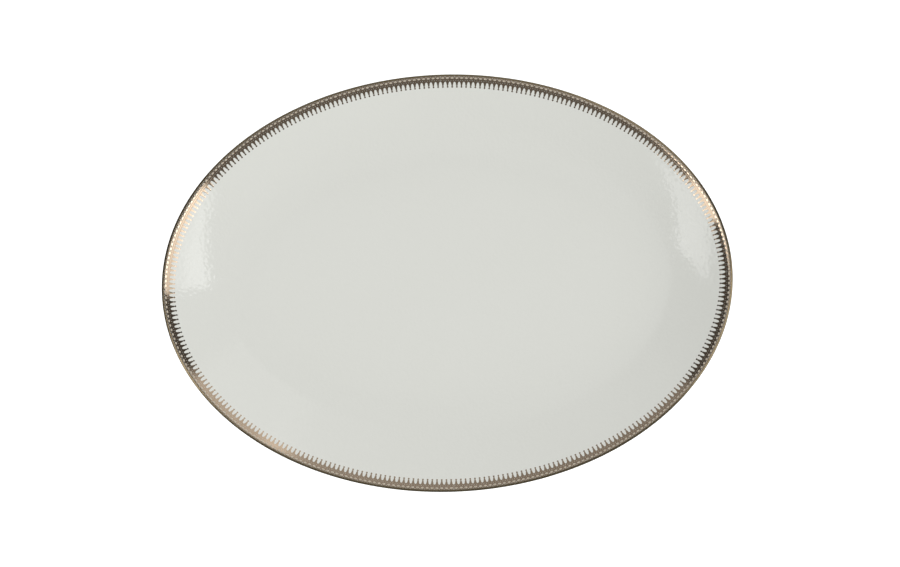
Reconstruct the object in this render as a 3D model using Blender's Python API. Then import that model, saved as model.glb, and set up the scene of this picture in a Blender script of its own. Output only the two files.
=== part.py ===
"""Oval china serving platter: a coupe-shaped porcelain body on a foot ring, its two skins of glaze, the gilt
line round its lip and the four lengths of printed gold border.

Every section is written in a plane that stands square to the lip. "inset" is the level distance inwards from
the lip's outermost point, and "height" is the distance above the table. Each ring of the model is the plan
oval of the lip, moved inwards by an inset, so the wall has the same width all the way round.
Metres, +Z up, +X along the platter's length, origin on the table under the middle.
"""

import math

import bmesh
import bpy

MM = 0.001

# Overall size, over the gilding
LENGTH = 362.0 * MM
WIDTH = 266.0 * MM

# Body, measured to the surface of the glaze
FOOT_HEIGHT = 5.4 * MM
FLOOR_THICKNESS = 4.2 * MM
LIP_THICKNESS = 2.4 * MM
WALL_REACH = 54.0 * MM  # level distance from the lip to the edge of the flat floor
TURN_RADIUS = 48.0 * MM  # of the face where the floor turns up into the wall
TURN_ANGLE = math.radians(22.0)  # slope of the wall where the turn ends
UPPER_RADIUS = 200.0 * MM  # of the wall above the turn, which bends a little all the way to the lip
FOOT_SETBACK = 2.0 * MM  # from the edge of the floor in to the root of the foot
FOOT_WIDTH = 5.0 * MM  # at the table, over the glaze
FOOT_OUTER_DRAFT = 2.5 * MM
FOOT_INNER_DRAFT = 3.0 * MM

# Coats
GLAZE_THICKNESS = 0.4 * MM
GOLD_THICKNESS = 0.2 * MM
COAT_GAP = 0.3 * MM  # left between each coat and what it lies on
BARE_FOOT = 0.8 * MM  # height of the foot that is wiped clean of glaze

# Ornament, measured along the glaze from the outermost point of the lip
EDGE_LINE_UNDER = 2.0 * MM  # how far the gilt line wraps under the lip
EDGE_LINE_FACE = 1.5 * MM  # how far it comes over on to the face
BORDER_CLEARANCE = 0.4 * MM  # bare glaze between the gilt line and the border
BORDER_WIDTH = 8.1 * MM
BORDER_SEAM = 0.4 * MM  # between neighbouring lengths of border

# Facets
STATIONS = 72  # around the oval
TURN_STEP = 6.5 * MM  # longest facet along the turn
UPPER_STEP = 14.0 * MM  # and along the wall above it
NOSE_STEP = math.radians(31.0)  # round the lip
GOLD_STEP = 1.4 * MM  # across a coat of gold

# Derived sizes
FLOOR_TOP = FOOT_HEIGHT + FLOOR_THICKNESS
GOLD_STANDOFF = COAT_GAP + GOLD_THICKNESS
LIP_HALF_LENGTH = LENGTH / 2 - GOLD_STANDOFF
LIP_HALF_WIDTH = WIDTH / 2 - GOLD_STANDOFF
LIP_RADIUS = LIP_THICKNESS / 2
MIDDLE_RADIUS = TURN_RADIUS + FLOOR_THICKNESS / 2  # of the wall's middle line in the turn
TURN_INSET = WALL_REACH - MIDDLE_RADIUS * math.sin(TURN_ANGLE)  # of the middle line where the turn ends
TURN_HEIGHT = FLOOR_TOP + TURN_RADIUS - MIDDLE_RADIUS * math.cos(TURN_ANGLE)
LIP_ANGLE = math.asin(math.sin(TURN_ANGLE) + (TURN_INSET - LIP_RADIUS) / UPPER_RADIUS)  # slope at the lip
UPPER_LENGTH = UPPER_RADIUS * (LIP_ANGLE - TURN_ANGLE)
WALL_LENGTH = UPPER_LENGTH + MIDDLE_RADIUS * TURN_ANGLE  # of the middle line, from the lip to the floor
FACE_ANGLE = math.pi / 2 + LIP_ANGLE  # round the lip, from its outermost point to where the face starts
UNDER_ANGLE = FACE_ANGLE - math.pi  # and to where the underside starts
FOOT_OUTSIDE = WALL_REACH + FOOT_SETBACK + FOOT_OUTER_DRAFT
FOOT_INSIDE = FOOT_OUTSIDE + FOOT_WIDTH
CORE_DEPTH = GLAZE_THICKNESS + COAT_GAP  # of the fired body below the surface of the glaze
BORDER_START = EDGE_LINE_FACE + BORDER_CLEARANCE


# ---------------------------------------------------------------- sections

def spread(corners, step):
    """Even values from each corner to the next, corners included, no further apart than a step."""
    values = [corners[0]]
    for first, last in zip(corners, corners[1:]):
        count = math.ceil(abs(last - first) / step)
        values += [first + (last - first) * i / count for i in range(1, count + 1)]
    return values


def middle_line(distance):
    """Inset, height and slope of the wall's middle line, at a distance along it from the lip's centre: a long
    arc down to the turn, then the arc of the turn, which ends level at the edge of the floor."""
    if distance < UPPER_LENGTH:
        slope = LIP_ANGLE - distance / UPPER_RADIUS
        inset = TURN_INSET - UPPER_RADIUS * (math.sin(slope) - math.sin(TURN_ANGLE))
        height = TURN_HEIGHT + UPPER_RADIUS * (math.cos(TURN_ANGLE) - math.cos(slope))
        return inset, height, slope
    slope = TURN_ANGLE - (distance - UPPER_LENGTH) / MIDDLE_RADIUS
    inset = WALL_REACH - MIDDLE_RADIUS * math.sin(slope)
    return inset, FLOOR_TOP + TURN_RADIUS - MIDDLE_RADIUS * math.cos(slope), slope


def wall_point(distance, side, depth):
    """A point of the wall: side is 1 on the face and -1 on the underside, depth is below the glaze."""
    inset, height, slope = middle_line(distance)
    thickness = LIP_THICKNESS + (FLOOR_THICKNESS - LIP_THICKNESS) * distance / WALL_LENGTH
    out = side * (thickness / 2 - depth)
    return inset + out * math.sin(slope), height + out * math.cos(slope)


def nose_point(angle, depth):
    """A point of the round lip: angle runs from its outermost point up on to the face."""
    inset, height, _ = middle_line(0.0)
    radius = LIP_RADIUS - depth
    return inset - radius * math.cos(angle), height + radius * math.sin(angle)


def rim_section(depth):
    """From the edge of the floor over the face, round the lip and back under to the edge of the floor."""
    turn = spread([WALL_LENGTH, UPPER_LENGTH], TURN_STEP)
    upper = spread([UPPER_LENGTH, 0.0], UPPER_STEP)
    stops = turn[:-1] + upper[:-1]
    face = [wall_point(stop, 1, depth) for stop in stops]
    nose = [nose_point(angle, depth) for angle in spread([FACE_ANGLE, 0.0, UNDER_ANGLE], NOSE_STEP)]
    under = [wall_point(stop, -1, depth) for stop in reversed(stops)]
    return face + nose + under


def foot_outer_point(height, depth):
    """A point on the outer side of the foot."""
    lean = FOOT_OUTER_DRAFT / FOOT_HEIGHT
    return FOOT_OUTSIDE - lean * height + depth * math.hypot(1.0, lean), height


def foot_inner_point(height, depth):
    """A point on the inner side of the foot."""
    lean = FOOT_INNER_DRAFT / FOOT_HEIGHT
    return FOOT_INSIDE + lean * height - depth * math.hypot(1.0, lean), height


def surface_point(distance, depth):
    """A point at a distance along the glaze from the lip's outermost point: up over the face, or down and
    back along the underside where it is negative."""
    angle = distance / LIP_RADIUS
    if angle > FACE_ANGLE:
        return wall_point(distance - FACE_ANGLE * LIP_RADIUS, 1, depth)
    if angle < UNDER_ANGLE:
        return wall_point(UNDER_ANGLE * LIP_RADIUS - distance, -1, depth)
    return nose_point(angle, depth)


def coat_section(corners):
    """A closed section of gold lying on the glaze, through these distances along it."""
    stops = spread(corners, GOLD_STEP)
    over = [surface_point(stop, -GOLD_STANDOFF) for stop in stops]
    below = [surface_point(stop, -COAT_GAP) for stop in reversed(stops)]
    return over + below


# ---------------------------------------------------------------- meshes

def stretch_to_oval(bm):
    """Turns a round dish, whose lip has half the platter's length as its radius, into the oval one: each point
    keeps its inset and its height, and moves to the same bearing on the oval of the lip."""
    for vert in bm.verts:
        angle = math.atan2(vert.co.y, vert.co.x)
        inset = LIP_HALF_LENGTH - math.hypot(vert.co.x, vert.co.y)
        square = (math.cos(angle) / LIP_HALF_LENGTH, math.sin(angle) / LIP_HALF_WIDTH)
        size = math.hypot(*square)
        vert.co.x = LIP_HALF_LENGTH * math.cos(angle) - inset * square[0] / size
        vert.co.y = LIP_HALF_WIDTH * math.sin(angle) - inset * square[1] / size


def face_outwards(bm):
    """Turns every face the same way round as its neighbours, then all of them outwards."""
    bmesh.ops.recalc_face_normals(bm, faces=bm.faces)
    if bm.calc_volume(signed=True) < 0.0:
        bmesh.ops.reverse_faces(bm, faces=bm.faces)


def turn_section(section, closed):
    """Spins a section round the platter and stretches the result to the oval. A closed section makes a ring of
    material; an open one makes a solid, with a flat face across its first and its last point's circle."""
    bm = bmesh.new()
    verts = [bm.verts.new((LIP_HALF_LENGTH - inset, 0.0, height)) for inset, height in section]
    edges = [bm.edges.new(pair) for pair in zip(verts, verts[1:])]
    if closed:
        edges.append(bm.edges.new((verts[-1], verts[0])))
    bmesh.ops.spin(
        bm, geom=verts + edges, axis=(0, 0, 1), angle=2 * math.pi, steps=STATIONS, use_merge=True
    )
    bmesh.ops.holes_fill(bm, edges=[edge for edge in bm.edges if edge.is_boundary], sides=0)
    stretch_to_oval(bm)
    face_outwards(bm)
    return bm


def keep_quadrant(bm, side_x, side_y):
    """Cuts a ring down to the quarter on these sides of the two axes, with half a seam off each end."""
    for normal in ((side_x, 0, 0), (0, side_y, 0)):
        cut = bmesh.ops.bisect_plane(
            bm,
            geom=bm.verts[:] + bm.edges[:] + bm.faces[:],
            plane_co=[part * BORDER_SEAM / 2 for part in normal],
            plane_no=normal,
            clear_inner=True,
        )
        edges = [part for part in cut["geom_cut"] if isinstance(part, bmesh.types.BMEdge)]
        bmesh.ops.holes_fill(bm, edges=edges, sides=0)
    face_outwards(bm)


# ---------------------------------------------------------------- objects

def finish(name, colour, roughness, metallic=0.0):
    material = bpy.data.materials.new(name)
    material.use_nodes = True
    shader = material.node_tree.nodes["Principled BSDF"]
    shader.inputs["Base Color"].default_value = (*colour, 1.0)
    shader.inputs["Roughness"].default_value = roughness
    shader.inputs["Metallic"].default_value = metallic
    return material


def add_part(bm, name, material, collection, parent):
    """One named object from a finished mesh, shaded smooth up to its sharp edges."""
    mesh = bpy.data.meshes.new(name)
    bm.to_mesh(mesh)
    bm.free()
    mesh.shade_smooth()
    mesh.set_sharp_from_angle(angle=math.radians(35.0))
    mesh.materials.append(material)
    part = bpy.data.objects.new(name, mesh)
    part.parent = parent
    collection.objects.link(part)
    return part


def body_section():
    """The fired body: floor, wall, lip, underside and foot, all of one piece of china."""
    root = FOOT_HEIGHT + CORE_DEPTH
    return rim_section(CORE_DEPTH) + [
        foot_outer_point(root, CORE_DEPTH),
        foot_outer_point(0.0, CORE_DEPTH),
        foot_inner_point(0.0, CORE_DEPTH),
        foot_inner_point(root, CORE_DEPTH),
    ]


def face_glaze_section():
    """The glaze over the face, the lip and the outside, which stops short of the table on the foot."""
    outer = rim_section(0.0) + [foot_outer_point(FOOT_HEIGHT, 0.0), foot_outer_point(BARE_FOOT, 0.0)]
    root = FOOT_HEIGHT + GLAZE_THICKNESS
    inner = rim_section(GLAZE_THICKNESS) + [
        foot_outer_point(root, GLAZE_THICKNESS),
        foot_outer_point(BARE_FOOT, GLAZE_THICKNESS),
    ]
    return outer + inner[::-1]


def recess_glaze_section():
    """The glaze of the recess inside the foot, cut off from the rest by the bare foot."""
    return [
        foot_inner_point(FOOT_HEIGHT, 0.0),
        foot_inner_point(BARE_FOOT, 0.0),
        foot_inner_point(BARE_FOOT, GLAZE_THICKNESS),
        foot_inner_point(FOOT_HEIGHT + GLAZE_THICKNESS, GLAZE_THICKNESS),
    ]


def make_platter():
    for old in list(bpy.data.objects):
        bpy.data.objects.remove(old)
    collection = bpy.data.collections.new("serving_platter")
    bpy.context.scene.collection.children.link(collection)
    platter = bpy.data.objects.new("platter", None)
    collection.objects.link(platter)

    bisque = finish("bare_bisque", (0.80, 0.77, 0.70), 0.85)
    glaze = finish("clear_glaze", (0.80, 0.80, 0.77), 0.08)
    gold = finish("burnished_gold", (0.74, 0.50, 0.27), 0.2, metallic=1.0)

    add_part(turn_section(body_section(), closed=False), "porcelain_body", bisque, collection, platter)
    add_part(turn_section(face_glaze_section(), closed=False), "face_glaze", glaze, collection, platter)
    add_part(turn_section(recess_glaze_section(), closed=False), "recess_glaze", glaze, collection, platter)

    edge_line = coat_section([-EDGE_LINE_UNDER, 0.0, EDGE_LINE_FACE])
    add_part(turn_section(edge_line, closed=True), "gilt_edge_line", gold, collection, platter)

    border = coat_section([BORDER_START, BORDER_START + BORDER_WIDTH])
    for end, side_x in (("right", 1), ("left", -1)):
        for half, side_y in (("back", 1), ("front", -1)):
            length = turn_section(border, closed=True)
            keep_quadrant(length, side_x, side_y)
            add_part(length, f"border_{half}_{end}", gold, collection, platter)


make_platter()
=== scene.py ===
"""The looks of an oval china serving platter.

White glazed porcelain, with a darker gilt line round the lip and a printed gold border below it: a row of
eyelets, a row of lens-shaped openings with a satin cell in each, a row of dots, and a fringe of tapering
teeth that end in beads.

Lengths are in metres, +Z up, +X along the platter, with the origin on the table under the middle. Every
ring of the platter is the plan oval of the lip, moved inwards by an "inset". A place on the glaze is a
distance along it from the outermost point of the lip, up over the face, or back underneath where it is
negative.
"""

import math

import bpy
import numpy as np
from mathutils import Matrix, Vector


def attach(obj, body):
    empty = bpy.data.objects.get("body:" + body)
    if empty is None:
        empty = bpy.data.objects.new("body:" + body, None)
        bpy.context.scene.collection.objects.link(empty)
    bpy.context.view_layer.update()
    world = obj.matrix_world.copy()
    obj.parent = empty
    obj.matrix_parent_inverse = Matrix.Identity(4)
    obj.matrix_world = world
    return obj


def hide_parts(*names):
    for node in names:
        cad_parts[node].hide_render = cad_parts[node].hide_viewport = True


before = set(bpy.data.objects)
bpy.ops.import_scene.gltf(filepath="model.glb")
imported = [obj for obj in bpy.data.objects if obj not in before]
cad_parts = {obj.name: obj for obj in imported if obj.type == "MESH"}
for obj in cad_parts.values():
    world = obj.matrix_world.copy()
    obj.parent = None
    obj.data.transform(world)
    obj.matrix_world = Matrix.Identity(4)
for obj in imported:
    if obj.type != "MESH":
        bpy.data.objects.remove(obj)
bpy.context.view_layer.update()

MM = 0.001

# The shape of the platter, to the surface of its glaze
LIP_HALF_LENGTH = 180.94 * MM
LIP_HALF_WIDTH = 132.94 * MM
FOOT_HEIGHT = 5.4 * MM
FLOOR_TOP = 9.6 * MM
FLOOR_THICKNESS = FLOOR_TOP - FOOT_HEIGHT
LIP_THICKNESS = 2.4 * MM
LIP_RADIUS = LIP_THICKNESS / 2
LIP_EASING = 0.27 * MM  # how far the corner between the lip and its face is rounded away
EASING_MIDDLE, EASING_END = 1.1 * MM, 3.8 * MM  # where that is deepest, and where it dies out on the face
WALL_REACH = 54.4 * MM  # from the lip in to the edge of the flat floor
TURN_RADIUS = 48.0 * MM  # of the face, where the floor turns up into the wall
TURN_SLOPE = math.radians(22.0)  # of the wall where the turn ends
UPPER_RADIUS = 200.0 * MM  # of the wall above the turn
FOOT_OUTSIDE = 58.9 * MM  # insets of the two sides of the foot at the table
FOOT_INSIDE = 63.9 * MM
FOOT_OUTER_LEAN = 2.5 / 5.4
FOOT_INNER_LEAN = 3.0 / 5.4
BARE_FOOT = 0.8 * MM  # height of the foot that is wiped clean of glaze
GLAZE_THICKNESS = 0.4 * MM
BODY_DEPTH = 0.7 * MM  # of the fired body below the surface of the glaze

MIDDLE_RADIUS = TURN_RADIUS + FLOOR_THICKNESS / 2
TURN_INSET = WALL_REACH - MIDDLE_RADIUS * math.sin(TURN_SLOPE)
TURN_HEIGHT = FLOOR_TOP + TURN_RADIUS - MIDDLE_RADIUS * math.cos(TURN_SLOPE)
LIP_SLOPE = math.asin(math.sin(TURN_SLOPE) + (TURN_INSET - LIP_RADIUS) / UPPER_RADIUS)
LIP_HEIGHT = TURN_HEIGHT + UPPER_RADIUS * (math.cos(TURN_SLOPE) - math.cos(LIP_SLOPE))
UPPER_LENGTH = UPPER_RADIUS * (LIP_SLOPE - TURN_SLOPE)
WALL_LENGTH = UPPER_LENGTH + MIDDLE_RADIUS * TURN_SLOPE
FACE_ANGLE = math.pi / 2 + LIP_SLOPE  # round the lip, from its outermost point to where the face starts
UNDER_ANGLE = FACE_ANGLE - math.pi

# The gilding, as distances along the glaze
EDGE_LINE = (-2.0 * MM, 2.05 * MM)
BORDER_EDGE = 2.13 * MM
EYELET_ROW, EYELET_HALF_HEIGHT = 2.50 * MM, 0.18 * MM
LENS_ROW, LENS_HALF_HEIGHT = 3.20 * MM, 0.60 * MM
DOT_ROW, DOT_HALF_HEIGHT = 4.80 * MM, 0.20 * MM
TEETH_ROOT = 5.75 * MM
NECK = 8.5 * MM
BEAD_CENTRE, BEAD_RADIUS = 9.25 * MM, 0.60 * MM
TOOTH_HALF_WIDTH = 0.90 * MM  # where it leaves the fillet of its root
NECK_HALF_WIDTH = 0.42 * MM
ROOT_FILLET = 0.25 * MM
PRINT_HEIGHT = 0.03 * MM
REPEATS = 324  # teeth round the whole lip, a quarter of them in each length of border
END_GAP = 0.02  # of a repeat, left at each end of a length
EYELET_HALF_WIDTH = 0.11  # of a repeat, as the next two are
LENS_HALF_WIDTH = 0.31
DOT_HALF_WIDTH = 0.06
CELL_SHARE = 0.86  # of a lens-shaped opening that its satin cell fills
CELL_SINK, CELL_DOME = 0.5, 3.5  # in print heights: how deep its edge lies, and how far its middle rises
ROUND_POWER, LENS_POWER = 0.5, 0.8  # of an opening's outline: 0.5 is an oval, and more is more pointed
STRIP_CROWN = np.array([1.0, 1.2, 1.0])  # in print heights, from edge to edge of a strip of the band
TOOTH_CROWN = np.array([1.0, 1.2, 1.25, 1.2, 1.0])  # as much, of a tooth


# ---------------------------------------------------------------- the shape of the platter

def middle_line(distance):
    """Inset, height and slope of the wall's middle line, at a distance along it from the middle of the lip.

    An arc of UPPER_RADIUS whose slope falls evenly from the lip's to the turn's, then an arc of
    MIDDLE_RADIUS whose slope falls to zero at the edge of the floor. On an arc, the inset changes with the
    sine of the slope and the height with its cosine.
    """
    upper = distance < UPPER_LENGTH
    slope = np.where(
        upper, LIP_SLOPE - distance / UPPER_RADIUS, TURN_SLOPE - (distance - UPPER_LENGTH) / MIDDLE_RADIUS
    )
    inset = np.where(
        upper,
        TURN_INSET - UPPER_RADIUS * (np.sin(slope) - math.sin(TURN_SLOPE)),
        WALL_REACH - MIDDLE_RADIUS * np.sin(slope),
    )
    height = np.where(
        upper,
        TURN_HEIGHT + UPPER_RADIUS * (math.cos(TURN_SLOPE) - np.cos(slope)),
        FLOOR_TOP + TURN_RADIUS - MIDDLE_RADIUS * np.cos(slope),
    )
    return inset, height, slope


def wall_line(distance, side, depth):
    """Inset and height of the wall's face, where side is 1, or its underside, where it is -1: the middle
    line moved square to itself by half the thickness, which grows evenly from the lip down, less the
    depth."""
    inset, height, slope = middle_line(distance)
    thickness = LIP_THICKNESS + (FLOOR_THICKNESS - LIP_THICKNESS) * distance / WALL_LENGTH
    out = side * (thickness / 2 - depth)
    return inset + out * np.sin(slope), height + out * np.cos(slope)


def glaze_line(distance, depth):
    """Inset and height at distances along the glaze from the lip's outermost point: a circle of LIP_RADIUS
    round the lip, then the wall's face on one side of it and its underside on the other. The corner is
    eased: the face is sunk by half of one less the cosine, which rises over the lip and falls again down
    the face."""
    rise = np.clip(distance / EASING_MIDDLE, 0.0, 1.0)
    fall = np.clip((EASING_END - distance) / (EASING_END - EASING_MIDDLE), 0.0, 1.0)
    depth = depth + LIP_EASING * (1.0 - np.cos(math.pi * np.minimum(rise, fall))) / 2
    angle = distance / LIP_RADIUS
    radius = LIP_RADIUS - depth
    lip = LIP_RADIUS - radius * np.cos(angle), LIP_HEIGHT + radius * np.sin(angle)
    face = wall_line(np.maximum(distance - FACE_ANGLE * LIP_RADIUS, 0.0), 1, depth)
    under = wall_line(np.maximum(UNDER_ANGLE * LIP_RADIUS - distance, 0.0), -1, depth)
    return tuple(
        np.where(angle > FACE_ANGLE, on_face, np.where(angle < UNDER_ANGLE, beneath, on_lip))
        for on_lip, on_face, beneath in zip(lip, face, under)
    )


fine_angles = np.linspace(0.0, 2 * math.pi, 7201)
fine_steps = np.hypot(
    np.diff(LIP_HALF_LENGTH * np.cos(fine_angles)), np.diff(LIP_HALF_WIDTH * np.sin(fine_angles))
)
fine_travel = np.concatenate([[0.0], np.cumsum(fine_steps)])
LIP_TRAVEL = fine_travel[-1]


def round_lip(share):
    """The oval's angle at a share of the way round the lip from +X: equal shares are equal lengths of lip,
    read off the summed length of the oval's short chords."""
    return np.interp(share * LIP_TRAVEL, fine_travel, fine_angles)


def on_oval(angle, inset, height, shrink=1.0):
    """The point of the lip's oval at an angle, moved square to the oval by the inset: (a cos, b sin) less
    inset times the unit of (cos / a, sin / b). Then shrunk towards the middle, as the flat floor's rings
    are."""
    across_x, across_y = np.cos(angle) / LIP_HALF_LENGTH, np.sin(angle) / LIP_HALF_WIDTH
    size = np.hypot(across_x, across_y)
    x = (LIP_HALF_LENGTH * np.cos(angle) - inset * across_x / size) * shrink
    y = (LIP_HALF_WIDTH * np.sin(angle) - inset * across_y / size) * shrink
    return np.stack(np.broadcast_arrays(x, y, height), axis=-1)


def foot_line(height, depth, side):
    """Inset of the foot's outer side, where side is 1, or inner side, where it is -1: a straight lean from
    the table up, moved inwards square to itself by the depth."""
    at_table, lean = (FOOT_OUTSIDE, FOOT_OUTER_LEAN) if side > 0 else (FOOT_INSIDE, FOOT_INNER_LEAN)
    return at_table - side * lean * height + side * depth * math.hypot(1.0, lean)


# ---------------------------------------------------------------- meshes

def grid_faces(rows, columns, join_rows=False, join_columns=False):
    """Corners of the quads of a grid of points counted row by row, with its last row joined to its first, or
    its last column, where asked."""
    row, column = np.meshgrid(
        np.arange(rows if join_rows else rows - 1),
        np.arange(columns if join_columns else columns - 1),
        indexing="ij",
    )
    row, column = row.ravel(), column.ravel()
    next_row, next_column = (row + 1) % rows, (column + 1) % columns
    return np.stack(
        [
            row * columns + column,
            next_row * columns + column,
            next_row * columns + next_column,
            row * columns + next_column,
        ],
        axis=1,
    )


def make_piece(name, points, faces, finish, slot, stands_for, smooth=True):
    """A finished piece: its mesh, its finish, its CAD body and the CAD nodes that it stands for."""
    mesh = bpy.data.meshes.new(name)
    mesh.from_pydata(points.reshape(-1, 3).tolist(), [], faces)
    mesh.polygons.foreach_set("use_smooth", np.full(len(mesh.polygons), smooth))
    mesh.materials.append(finish)
    mesh.update()
    piece = bpy.data.objects.new(name, mesh)
    bpy.context.scene.collection.objects.link(piece)
    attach(piece, "root")
    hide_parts(*stands_for)
    return piece


STATIONS = 432
station_angles = round_lip(np.arange(STATIONS) / STATIONS)


def turned_solid(section):
    """Points and faces of a closed solid: each (inset, height, shrink) of the section carried round the oval
    as a ring, from a pole on the middle line at its start to one at its end."""
    inset, height, shrink = (part[:, None] for part in section)
    rings = on_oval(station_angles, inset, height, shrink).reshape(-1, 3)
    count = len(section[0])
    quads = grid_faces(count, STATIONS, join_columns=True)
    poles = np.array([[0.0, 0.0, section[1][0]], [0.0, 0.0, section[1][-1]]])
    first = np.arange(STATIONS)
    second = (first + 1) % STATIONS
    last = (count - 1) * STATIONS
    start_pole = np.stack([np.full(STATIONS, len(rings)), first, second], axis=1)
    end_pole = np.stack([np.full(STATIONS, len(rings) + 1), last + second, last + first], axis=1)
    return np.concatenate([rings, poles]), quads.tolist() + start_pole.tolist() + end_pole.tolist()


def section_of(*stretches):
    """One section from stretches of (insets, heights, shrinks), any of which may be a single number."""
    filled = [np.broadcast_arrays(*(np.atleast_1d(part).astype(float) for part in s)) for s in stretches]
    return [np.concatenate(parts) for parts in zip(*filled)]


def floor_rings(inset, height):
    """A level stretch of rings, from near the middle out to the ring of this inset: shrunk copies of it."""
    return inset, height, np.linspace(0.1, 0.95, 10)


FINE_REACH = 10 * MM  # down the face from the lip, where the print lies and the rings are closer
FACE_TO_UNDER = np.concatenate(
    [
        np.linspace(WALL_LENGTH, FINE_REACH, 32)[:-1] + FACE_ANGLE * LIP_RADIUS,
        np.linspace(FINE_REACH, 0.0, 25)[:-1] + FACE_ANGLE * LIP_RADIUS,
        np.linspace(FACE_ANGLE, UNDER_ANGLE, 21) * LIP_RADIUS,
        UNDER_ANGLE * LIP_RADIUS - np.linspace(0.0, WALL_LENGTH, 17)[1:],
    ]
)


def rim_stretch(depth):
    """From the edge of the floor over the face, round the lip and back under to the edge of the floor."""
    inset, height = glaze_line(FACE_TO_UNDER, depth)
    return inset, height, 1.0


def foot_stretch(top, bottom, depth, side):
    """Down one side of the foot."""
    heights = np.linspace(top, bottom, 5)
    return foot_line(heights, depth, side), heights, 1.0


def reversed_stretch(stretch):
    return tuple(np.atleast_1d(part)[::-1] for part in stretch)


# ---------------------------------------------------------------- finishes

class Socket:
    """A number inside a material or a world. Arithmetic on it adds the Math nodes of the expression."""

    def __init__(self, nodes, output):
        self.nodes, self.output = nodes, output

    def _math(self, operation, first, second=None):
        return self.nodes.add("ShaderNodeMath", {"operation": operation}, {0: first, 1: second})

    def __add__(self, other):
        return self._math("ADD", self, other)

    def __sub__(self, other):
        return self._math("SUBTRACT", self, other)

    def __rsub__(self, other):
        return self._math("SUBTRACT", other, self)

    def __mul__(self, other):
        return self._math("MULTIPLY", self, other)

    def __abs__(self):
        return self._math("ABSOLUTE", self)

    __radd__ = __add__
    __rmul__ = __mul__

    def larger(self, other):
        return self._math("MAXIMUM", self, other)

    def arcsine(self):
        return self._math("ARCSINE", self)

    def bearing_over(self, other):
        """The angle whose tangent is this over the other, all the way round."""
        return self._math("ARCTAN2", self, other)

    def ease(self, start, end):
        """0 before start, 1 past end, and a smooth S between them."""
        return self.nodes.add(
            "ShaderNodeMapRange",
            {"interpolation_type": "SMOOTHSTEP"},
            {"Value": self, "From Min": start, "From Max": end},
        )


class Nodes:
    """The nodes of one material or world."""

    def __init__(self, owner):
        owner.use_nodes = True
        self.tree = owner.node_tree
        self.tree.nodes.clear()

    def add(self, kind, settings=None, sockets=None, output=0):
        """A node of a kind: its settings first, then each socket, by name or number, set or linked. Returns
        one of its outputs, or the node itself where it has none."""
        node = self.tree.nodes.new(kind)
        for key, value in (settings or {}).items():
            setattr(node, key, value)
        for key, value in (sockets or {}).items():
            if value is None:
                continue
            socket = node.inputs[key]
            if isinstance(value, Socket):
                self.tree.links.new(value.output, socket)
            else:
                socket.default_value = value
        return Socket(self, node.outputs[output]) if len(node.outputs) else node

    def mix(self, factor, first, second):
        """A colour between two, by a factor."""
        return self.add(
            "ShaderNodeMix", {"data_type": "RGBA"}, {0: factor, 6: first, 7: second}, output=2
        )

    def speckle(self, size, detail=2.0, roughness=0.5, stretch=None):
        """Cloudy noise from 0 to 1 over the piece, whose blots are about this size in metres."""
        place = self.add("ShaderNodeTexCoord", output=3)
        if stretch:
            place = self.add("ShaderNodeMapping", {}, {"Vector": place, "Scale": stretch})
        return self.add(
            "ShaderNodeTexNoise",
            {},
            {"Vector": place, "Scale": 1.0 / size, "Detail": detail, "Roughness": roughness},
        )

    def relief(self, height, distance, normal=None):
        """A normal tilted by a height field of 0 to 1, which stands for this many metres."""
        return self.add(
            "ShaderNodeBump",
            {},
            {"Strength": 1.0, "Distance": distance, "Height": height, "Normal": normal},
        )


def make_finish(name, sockets):
    """A material with one principled shader; sockets is a function of its nodes that gives what it needs."""
    material = bpy.data.materials.new(name)
    nodes = Nodes(material)
    shader = nodes.add("ShaderNodeBsdfPrincipled", {}, sockets(nodes))
    nodes.add("ShaderNodeOutputMaterial", {}, {"Surface": shader})
    return material


def glaze_sockets(nodes):
    """Clear gloss glaze on cool white china: a faint cloudiness of tint, gloss that varies a little, and the
    shallow ripple that a glaze keeps from flowing in the kiln."""
    cloud = nodes.speckle(60 * MM, detail=3.0)
    pool = nodes.speckle(9 * MM, detail=1.0)
    ripple = nodes.speckle(2.0 * MM, detail=0.0)
    swell = nodes.speckle(12 * MM, detail=1.0)
    tint = nodes.mix(cloud, (0.770, 0.778, 0.728, 1.0), (0.780, 0.788, 0.742, 1.0))
    return {
        "Base Color": tint,
        "Roughness": 0.06 + pool.ease(0.35, 0.75) * 0.03,
        "IOR": 1.5,
        "Normal": nodes.relief(ripple, 0.07 * MM, normal=nodes.relief(swell, 0.08 * MM)),
    }


def gold_sockets(nodes):
    """Burnished gold: warm pinkish metal with fine rubbing marks, worn a little duller in patches."""
    wear = nodes.speckle(3.0 * MM, detail=4.0).ease(0.4, 0.7)
    rubbing = nodes.speckle(0.35 * MM, detail=2.0)
    return {
        "Base Color": nodes.mix(wear, (0.88, 0.69, 0.51, 1.0), (0.82, 0.635, 0.46, 1.0)),
        "Metallic": 1.0,
        "Roughness": 0.07 + wear * 0.06,
        "Normal": nodes.relief(rubbing, 0.004 * MM),
    }


def lip_gold_sockets(nodes):
    """The gilt of the lip: darker than the border, and more uneven."""
    wear = nodes.speckle(2.2 * MM, detail=4.0, stretch=(1.0, 1.0, 3.0)).ease(0.35, 0.7)
    rubbing = nodes.speckle(0.3 * MM, detail=2.0)
    return {
        "Base Color": nodes.mix(wear, (0.50, 0.40, 0.25, 1.0), (0.40, 0.315, 0.19, 1.0)),
        "Metallic": 1.0,
        "Roughness": 0.18 + wear * 0.12,
        "Normal": nodes.relief(rubbing, 0.004 * MM),
    }


def satin_gold_sockets(nodes):
    """Pale gold left matt in the cells of the border, as it comes from the kiln."""
    grain = nodes.speckle(0.12 * MM, detail=2.0)
    return {
        "Base Color": nodes.mix(grain, (0.80, 0.685, 0.52, 1.0), (0.74, 0.63, 0.47, 1.0)),
        "Metallic": 0.55,
        "Roughness": 0.45 + grain * 0.1,
        "Normal": nodes.relief(grain, 0.006 * MM),
    }


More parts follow.
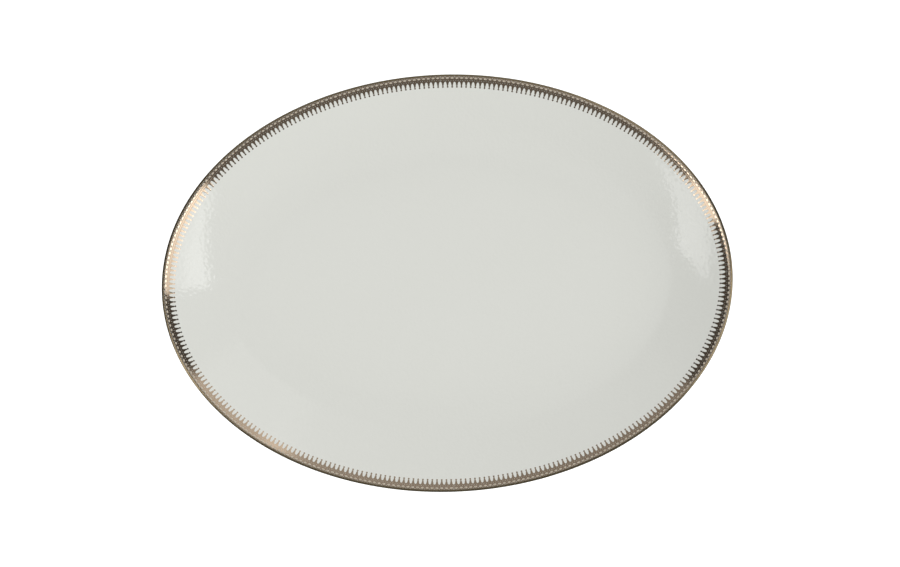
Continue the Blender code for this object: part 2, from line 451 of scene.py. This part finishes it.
def bare_sockets(nodes):
    """Fired china with no glaze: matt, faintly warm, with a fine grit and a little grey from use."""
    grit = nodes.speckle(0.5 * MM, detail=3.0, roughness=0.7)
    dust = nodes.speckle(12 * MM, detail=4.0).ease(0.45, 0.75)
    return {
        "Base Color": nodes.mix(dust, (0.80, 0.77, 0.71, 1.0), (0.68, 0.65, 0.60, 1.0)),
        "Roughness": 0.78 + grit * 0.15,
        "Normal": nodes.relief(grit, 0.05 * MM),
    }


white_glaze = make_finish("white_glaze", glaze_sockets)
burnished_gold = make_finish("burnished_gold", gold_sockets)
dark_lip_gold = make_finish("dark_lip_gold", lip_gold_sockets)
satin_gold = make_finish("satin_gold", satin_gold_sockets)
bare_porcelain = make_finish("bare_porcelain", bare_sockets)


# ---------------------------------------------------------------- china

glaze_root = FOOT_HEIGHT + GLAZE_THICKNESS  # where the inner skin of the glaze meets the top of the foot
face_glaze_section = section_of(
    floor_rings(WALL_REACH, FLOOR_TOP),
    rim_stretch(0.0),
    foot_stretch(FOOT_HEIGHT, BARE_FOOT, 0.0, 1),
    reversed_stretch(foot_stretch(glaze_root, BARE_FOOT, GLAZE_THICKNESS, 1)),
    reversed_stretch(rim_stretch(GLAZE_THICKNESS)),
    reversed_stretch(floor_rings(WALL_REACH, FLOOR_TOP - GLAZE_THICKNESS)),
)
make_piece("glazed_face", *turned_solid(face_glaze_section), white_glaze, "white_glaze", ["face_glaze"])

recess_section = section_of(
    floor_rings(foot_line(glaze_root, GLAZE_THICKNESS, -1), glaze_root),
    foot_stretch(glaze_root, BARE_FOOT, GLAZE_THICKNESS, -1),
    reversed_stretch(foot_stretch(FOOT_HEIGHT, BARE_FOOT, 0.0, -1)),
    reversed_stretch(floor_rings(foot_line(FOOT_HEIGHT, 0.0, -1), FOOT_HEIGHT)),
)
make_piece("glazed_recess", *turned_solid(recess_section), white_glaze, "white_glaze", ["recess_glaze"])

body_root = FOOT_HEIGHT + BODY_DEPTH
body_section = section_of(
    floor_rings(WALL_REACH, FLOOR_TOP - BODY_DEPTH),
    rim_stretch(BODY_DEPTH),
    foot_stretch(body_root, 0.0, BODY_DEPTH, 1),
    reversed_stretch(foot_stretch(body_root, 0.0, BODY_DEPTH, -1)),
    reversed_stretch(floor_rings(foot_line(body_root, BODY_DEPTH, -1), body_root)),
)
make_piece(
    "fired_body", *turned_solid(body_section), bare_porcelain, "bare_porcelain", ["porcelain_body"]
)


# ---------------------------------------------------------------- gilding

def gilt_edge_line():
    """A thin closed ring on the lip: its section follows the glaze out and back, raised by twice the print
    height on the way out and sunk by the print height on the way back."""
    stops = np.linspace(*EDGE_LINE, 28)
    over = glaze_line(stops, -2 * PRINT_HEIGHT)
    below = glaze_line(stops[::-1], PRINT_HEIGHT)
    inset, height = (np.concatenate(pair)[:, None] for pair in zip(over, below))
    points = on_oval(station_angles, inset, height)
    faces = grid_faces(len(inset), STATIONS, join_rows=True, join_columns=True)
    return points, faces[:, ::-1].tolist()


make_piece("gilt_lip", *gilt_edge_line(), dark_lip_gold, "burnished_gold", ["gilt_edge_line"])


def lay_print(along, across, raised, first):
    """Points of a length of border laid on the glaze: along counts repeats from the start of the length,
    which is drawn in by the end gap at both ends, and across is a distance along the glaze."""
    count = REPEATS // 4
    along = END_GAP + along * (count - 2 * END_GAP) / count
    inset, height = glaze_line(across, -raised)
    return on_oval(round_lip((first + along) / REPEATS), inset, height)


def opening(along, centre, half_width, power):
    """How far an opening has parted at each place along a repeat: (1 - x^2) to a power, where x runs from -1
    to 1 across the opening, and 0 outside it. The nearest opening counts, as they come once a repeat."""
    x = ((along - centre + 0.5) % 1.0 - 0.5) / half_width
    return np.maximum(1.0 - x * x, 0.0) ** power


repeat_stops = np.array(
    [0.0, 0.06, 0.11, 0.19, 0.22, 0.25, 0.28, 0.31, 0.4, 0.5, 0.6, 0.69, 0.72, 0.75, 0.78, 0.81, 0.89, 0.94]
)  # shares of a repeat: the middles and ends of the openings, and places between


def band_strips():
    """Points and faces of the band above the teeth, as (along, across, raised): four strips, one below the
    other, whose neighbouring edges part round each eyelet, lens and dot and run together between them."""
    count = REPEATS // 4
    along = np.append((np.arange(count)[:, None] + repeat_stops).ravel(), count)
    eyelet = EYELET_HALF_HEIGHT * opening(along, 0.0, EYELET_HALF_WIDTH, ROUND_POWER)
    lens = LENS_HALF_HEIGHT * opening(along, 0.5, LENS_HALF_WIDTH, LENS_POWER)
    dot = DOT_HALF_HEIGHT * np.maximum(
        opening(along, 0.25, DOT_HALF_WIDTH, ROUND_POWER), opening(along, 0.75, DOT_HALF_WIDTH, ROUND_POWER)
    )
    edges = [
        (BORDER_EDGE + 0 * along, EYELET_ROW - eyelet),
        (EYELET_ROW + eyelet, LENS_ROW - lens),
        (LENS_ROW + lens, DOT_ROW - dot),
        (DOT_ROW + dot, TEETH_ROOT + 0 * along),
    ]
    points, faces = [], []
    for outer, inner in edges:
        across = np.stack([outer, (outer + inner) / 2, inner])
        raised = STRIP_CROWN[:, None] * PRINT_HEIGHT + 0 * across
        faces.append(grid_faces(3, len(along)) + 3 * len(along) * len(points))
        points.append(np.stack([along + 0 * across, across, raised], axis=-1).reshape(-1, 3))
    return np.concatenate(points), np.concatenate(faces)


def teeth():
    """Points and faces of the teeth of a length, as (along, across, raised). The half width of a tooth
    falls evenly from root to neck, plus a fillet at the root that dies away exponentially, and then follows
    a circle round the bead."""
    pitch = LIP_TRAVEL / REPEATS
    stem = TEETH_ROOT + (NECK - TEETH_ROOT) * np.array([0.0, 0.02, 0.05, 0.1, 0.2, 0.4, 0.7, 0.92])
    share = (stem - TEETH_ROOT) / (NECK - TEETH_ROOT)
    taper = TOOTH_HALF_WIDTH + (NECK_HALF_WIDTH - TOOTH_HALF_WIDTH) * share
    fillet = (pitch / 2 - TOOTH_HALF_WIDTH) * np.exp((TEETH_ROOT - stem) / ROOT_FILLET)
    turn = np.radians([160.0, 135.0, 110.0, 80.0, 50.0, 25.0, 5.0])
    rows = np.concatenate([stem, BEAD_CENTRE + BEAD_RADIUS * np.cos(turn)])
    half_width = np.concatenate([taper + fillet, BEAD_RADIUS * np.sin(turn)]) / pitch
    side = np.array([-1.0, -0.55, 0.0, 0.55, 1.0])
    number = np.arange(REPEATS // 4)[:, None, None]
    along = number + 0.5 + half_width[None, :, None] * side
    across = rows[None, :, None] + 0 * along
    raised = PRINT_HEIGHT * TOOTH_CROWN + 0 * along
    each = len(rows) * len(side)
    faces = grid_faces(len(rows), len(side))[:, ::-1][None] + each * number
    return np.stack([along, across, raised], axis=-1).reshape(-1, 3), faces.reshape(-1, 4)


def give_thickness(piece):
    """Gives a sheet of print its thickness, down into the glaze."""
    body = piece.modifiers.new("print_thickness", "SOLIDIFY")
    body.thickness = 2 * PRINT_HEIGHT
    body.offset = -1.0


def satin_cells():
    """Points and faces of the cells of a length, as (along, across, raised): a shallow cushion in each lens,
    its edge a smaller copy of the opening's, sunk into the glaze, and its height a dome over the middle."""
    share = np.array([-1.0, -0.75, -0.4, 0.0, 0.4, 0.75, 1.0])
    side = np.array([-1.0, -0.5, 0.5, 1.0])
    half_height = CELL_SHARE * LENS_HALF_HEIGHT * (1.0 - share * share) ** LENS_POWER
    number = np.arange(REPEATS // 4)[:, None, None]
    along = number + 0.5 + CELL_SHARE * LENS_HALF_WIDTH * share[None, :, None] + 0 * side
    across = LENS_ROW + half_height[None, :, None] * side + 0 * number
    dome = (1.0 - share[:, None] ** 2) * (1.0 - side**2)
    raised = PRINT_HEIGHT * (CELL_DOME * dome - CELL_SINK)[None] + 0 * along
    each = len(share) * len(side)
    faces = grid_faces(len(share), len(side))[None] + each * number
    return np.stack([along, across, raised], axis=-1).reshape(-1, 3), faces.reshape(-1, 4)


def border_length(name, quarter, node):
    """One printed length of border, a quarter of the way round, given the thickness of the print."""
    band_points, band_faces = band_strips()
    teeth_points, teeth_faces = teeth()
    places = np.concatenate([band_points, teeth_points])
    points = lay_print(*places.T, quarter * REPEATS // 4)
    faces = np.concatenate([band_faces, teeth_faces + len(band_points)])
    length = make_piece(name, points, faces.tolist(), burnished_gold, "burnished_gold", [node], smooth=False)
    give_thickness(length)
    cell_points, cell_faces = satin_cells()
    cell_points = lay_print(*cell_points.T, quarter * REPEATS // 4)
    cells = make_piece(
        f"cells_{name}", cell_points, cell_faces.tolist(), satin_gold, "burnished_gold", [node]
    )
    give_thickness(cells)


for quarter, place in enumerate(["back_right", "back_left", "front_left", "front_right"]):
    border_length(f"print_{place}", quarter, f"border_{place}")


# ---------------------------------------------------------------- the table, the light and the camera

WHITE = (1.0, 1.0, 1.0, 1.0)
DARK = 0.06  # brightness of the unlit studio where gloss mirrors it, and of the table only where gloss mirrors it: a painted dark reflection
TABLE_HALF_SIZE = 6.0
TABLE_GLOW = 0.5
BACKDROP = 1.05  # brightness of what the eye sees behind the platter


def table_sockets(nodes):
    """Plain white table."""
    cloud = nodes.speckle(0.6, detail=1.0)
    return {
        "Base Color": nodes.mix(cloud, (0.90, 0.90, 0.90, 1.0), (0.92, 0.92, 0.92, 1.0)),
        "Roughness": 0.9,
        "Emission Color": WHITE,
        "Emission Strength": TABLE_GLOW,
    }


def make_table_finish():
    """White for the eye and for soft light, and shown dark only where the gloss of the platter mirrors it: a
    painted dark reflection in the platter's gloss."""
    material = bpy.data.materials.new("white_table")
    nodes = Nodes(material)
    white = nodes.add("ShaderNodeBsdfPrincipled", {}, table_sockets(nodes))
    # painted dark reflection: the platter's gloss sees a dim emission here in place of the white table
    painted_dark_reflection = nodes.add("ShaderNodeEmission", {}, {"Color": WHITE, "Strength": DARK})
    in_gloss = nodes.add("ShaderNodeLightPath", output="Is Glossy Ray")
    either = nodes.add("ShaderNodeMixShader", {}, {0: in_gloss, 1: white, 2: painted_dark_reflection})
    nodes.add("ShaderNodeOutputMaterial", {}, {"Surface": either})
    material.cycles.emission_sampling = "NONE"
    return material


def lay_table():
    """A level square, much larger than the platter."""
    signs = ((-1, -1), (1, -1), (1, 1), (-1, 1))
    corners = [(x * TABLE_HALF_SIZE, y * TABLE_HALF_SIZE, 0.0) for x, y in signs]
    mesh = bpy.data.meshes.new("table")
    mesh.from_pydata(corners, [], [(0, 1, 2, 3)])
    mesh.materials.append(make_table_finish())
    floor = bpy.data.objects.new("table", mesh)
    bpy.context.scene.collection.objects.link(floor)


lay_table()


class Studio:
    """The directions that light comes from: a bearing is counted from +X towards +Y, and an elevation from
    the horizon, both in degrees."""

    def __init__(self, nodes):
        direction = nodes.add("ShaderNodeTexCoord", output="Generated")
        self.x, self.y, self.z = (
            nodes.add("ShaderNodeSeparateXYZ", {}, {0: direction}, output=axis) for axis in "XYZ"
        )
        self.elevation = self.z.arcsine() * (180 / math.pi)

    def aside(self, bearing):
        """Degrees to the left of a bearing, from -180 to 180."""
        cosine, sine = math.cos(math.radians(bearing)), math.sin(math.radians(bearing))
        forward = self.x * cosine + self.y * sine
        return (self.y * cosine - self.x * sine).bearing_over(forward) * (180 / math.pi)

    def sector(self, bearing, half_width, edge):
        """1 within half_width of a bearing, easing to 0 over an edge on either side of that."""
        return 1 - abs(self.aside(bearing)).ease(half_width - edge, half_width + edge)

    def above(self, low, edge):
        """1 above an elevation, easing to 0 below it over an edge on either side."""
        return (self.elevation - low).ease(-edge, edge)


def east_light(studio):
    """The box to the east. Its top edge rises to the left and bends down at both ends, its left side leans
    out towards the bottom, and it glows most in its upper part."""
    aside = studio.aside(bearing=-14.7)
    top_edge = 47.5 + aside * 0.20 - aside * aside * 0.0035
    lean = (46.0 - studio.elevation) * 0.16
    sides = 1 - (aside - lean).larger(aside * -1.0).ease(start=21.0, end=22.4)
    top = 1 - studio.above(low=top_edge, edge=0.5)
    glow = 0.68 + studio.above(low=40.0, edge=5.0) * 2.0
    return sides * top * glow


def west_light(studio):
    """The box to the west, with a gabled top, steeper on its right, and a foot that rises at both ends, and
    a dimmer panel under its middle."""
    aside = studio.aside(bearing=-160)
    from_peak = aside + 11.0
    gable = from_peak.larger(from_peak * -1.65) * 0.28
    top = 1 - studio.above(low=51.5 - gable, edge=0.5)
    right_rise = (-14.0 - aside).larger(0.0) * 0.11
    left_rise = (aside - 8.0).larger(0.0) * 0.09
    foot = studio.above(low=39.0 + right_rise + left_rise, edge=0.6)
    glow = 1.9 + studio.above(low=46.0, edge=4.0) * 0.7
    box = studio.sector(bearing=-162, half_width=31, edge=0.8) * top * foot * glow
    under = 1 - studio.above(low=39.5, edge=0.7)
    panel = studio.sector(bearing=-157.5, half_width=8.5, edge=1.0) * under * 0.88
    return box + panel


def gloss_light(studio):
    """What gloss mirrors: a dark studio with the two boxes, dim strips to the north, the north-east and the
    south, and a faint ceiling that is brighter to the west."""
    north_level = 0.165 + (studio.x + 0.1).larger(0.0) * 0.25
    north = studio.sector(bearing=98, half_width=34, edge=3.0) * north_level
    north_east = studio.sector(bearing=54, half_width=14, edge=4.0) * 0.44
    south_level = 0.045 + studio.above(low=42.0, edge=3.0) * 0.07
    south = studio.sector(bearing=-94, half_width=56, edge=6.0) * south_level
    overhead = studio.above(low=56.0, edge=4.0)
    strips = (south + north + north_east) * (1 - overhead)
    ceiling = overhead * (0.15 - studio.x * 0.65).larger(0.0)
    return DARK + strips + ceiling + east_light(studio) + west_light(studio)


def soft_light(studio):
    """What lights everything but gloss: a nearly even white, a little stronger from the east and the south,
    weaker from both ends and stronger from both sides."""
    slant = 0.965 + studio.x * 0.25 - studio.y * 0.08
    return slant - studio.x * studio.x * 0.6 + studio.y * studio.y * 0.42


def light_studio():
    """The backdrop for the eye, the boxes for gloss, and the soft light for everything else."""
    world = bpy.data.worlds.new("studio")
    bpy.context.scene.world = world
    nodes = Nodes(world)
    studio = Studio(nodes)
    soft, boxes, backdrop = (
        nodes.add("ShaderNodeBackground", {}, {"Color": WHITE, "Strength": strength})
        for strength in (soft_light(studio), gloss_light(studio), BACKDROP)
    )
    in_gloss = nodes.add("ShaderNodeLightPath", output="Is Glossy Ray")
    to_eye = nodes.add("ShaderNodeLightPath", output="Is Camera Ray")
    lit = nodes.add("ShaderNodeMixShader", {}, {0: in_gloss, 1: soft, 2: boxes})
    seen = nodes.add("ShaderNodeMixShader", {}, {0: to_eye, 1: lit, 2: backdrop})
    nodes.add("ShaderNodeOutputWorld", {}, {"Surface": seen})


light_studio()
bpy.context.scene.view_settings.view_transform = "Standard"

CAMERA_ELEVATION = math.radians(84.0)
CAMERA_SIDE = math.radians(3.0)
CAMERA_DISTANCE = 1.3555
CAMERA_ROLL = math.radians(-1.92)
CAMERA_TARGET = Vector((0.0018, -0.00065, 0.020))
CAMERA_LENS, SENSOR_WIDTH = 85.0, 36.0


def place_camera():
    """A camera nearly overhead, a little to the front and the right of the target, and slightly rolled."""
    data = bpy.data.cameras.new("camera")
    data.lens = CAMERA_LENS
    data.sensor_width = SENSOR_WIDTH
    camera = bpy.data.objects.new("camera", data)
    bpy.context.scene.collection.objects.link(camera)
    outwards = Vector(
        (
            math.cos(CAMERA_ELEVATION) * math.sin(CAMERA_SIDE),
            -math.cos(CAMERA_ELEVATION) * math.cos(CAMERA_SIDE),
            math.sin(CAMERA_ELEVATION),
        )
    )
    level_right = (-outwards).cross(Vector((0.0, 1.0, 0.0))).normalized()
    level_up = level_right.cross(-outwards)
    right = level_right * math.cos(CAMERA_ROLL) + level_up * math.sin(CAMERA_ROLL)
    up = level_up * math.cos(CAMERA_ROLL) - level_right * math.sin(CAMERA_ROLL)
    turned = Matrix((right, up, outwards)).transposed().to_4x4()
    camera.matrix_world = Matrix.Translation(CAMERA_TARGET + outwards * CAMERA_DISTANCE) @ turned
    bpy.context.scene.camera = camera


place_camera()
